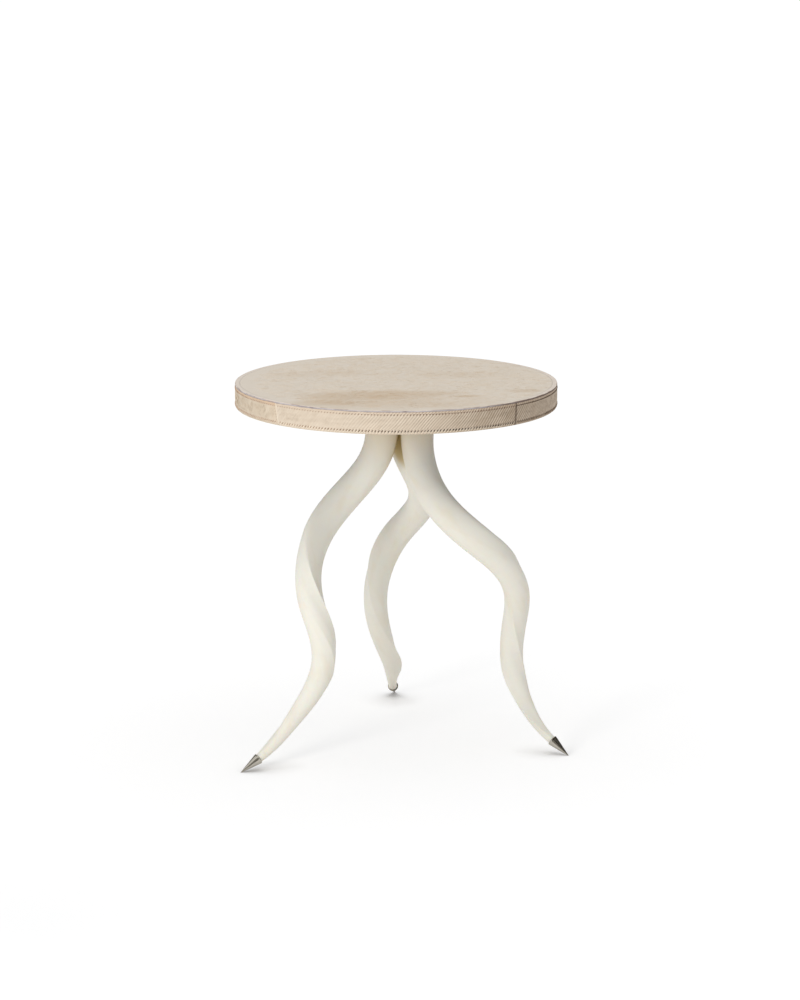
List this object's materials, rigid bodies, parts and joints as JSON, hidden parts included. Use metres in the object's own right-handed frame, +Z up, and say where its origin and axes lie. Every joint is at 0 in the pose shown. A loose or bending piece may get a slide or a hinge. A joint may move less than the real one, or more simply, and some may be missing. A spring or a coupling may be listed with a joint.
{
  "type": "round side table",
  "caption": "Round side table: a hide-covered disc top carried on splayed spiral horn-shaped legs that end in pointed metal feet.",
  "frame": {"origin": "on the floor, under the middle of the table's outer box; the axis of the round top is 2.8 mm in -X and 39.5 mm in -Y from it", "axes": "+Z up; the rear foot points to about +Y, the other two feet to the front left and front right"},
  "size_m": [0.5558, 0.619, 0.62],
  "materials": {
    "hide": "hair-on hide, short combed hair, matte",
    "board": "raw plywood",
    "lining": "thin woven lining on card",
    "plate": "satin black paint",
    "fastener_steel": "zinc plated",
    "insert_brass": "turned",
    "horn": "cast resin, satin cream",
    "foot_metal": "polished nickel"
  },
  "bodies": {
    "root": {"top_hide": "hide", "edge_band_1": "hide", "edge_band_2": "hide", "edge_band_3": "hide", "edge_band_4": "hide", "upper_board": "board", "lower_board": "board", "underside_lining": "lining", "mounting_plate": "plate", "plate_screw_1": "fastener_steel", "plate_screw_2": "fastener_steel", "plate_screw_3": "fastener_steel", "plate_screw_4": "fastener_steel", "plate_screw_5": "fastener_steel", "plate_screw_6": "fastener_steel", "leg_bolt_rear": "fastener_steel", "leg_bolt_left": "fastener_steel", "leg_bolt_right": "fastener_steel", "leg_washer_rear": "fastener_steel", "leg_washer_left": "fastener_steel", "leg_washer_right": "fastener_steel", "leg_insert_rear": "insert_brass", "leg_insert_left": "insert_brass", "leg_insert_right": "insert_brass", "horn_leg_rear": "horn", "horn_leg_left": "horn", "horn_leg_right": "horn", "tip_stud_rear": "fastener_steel", "tip_stud_left": "fastener_steel", "tip_stud_right": "fastener_steel", "foot_tip_rear": "foot_metal", "foot_tip_left": "foot_metal", "foot_tip_right": "foot_metal"}
  },
  "joints": []
}
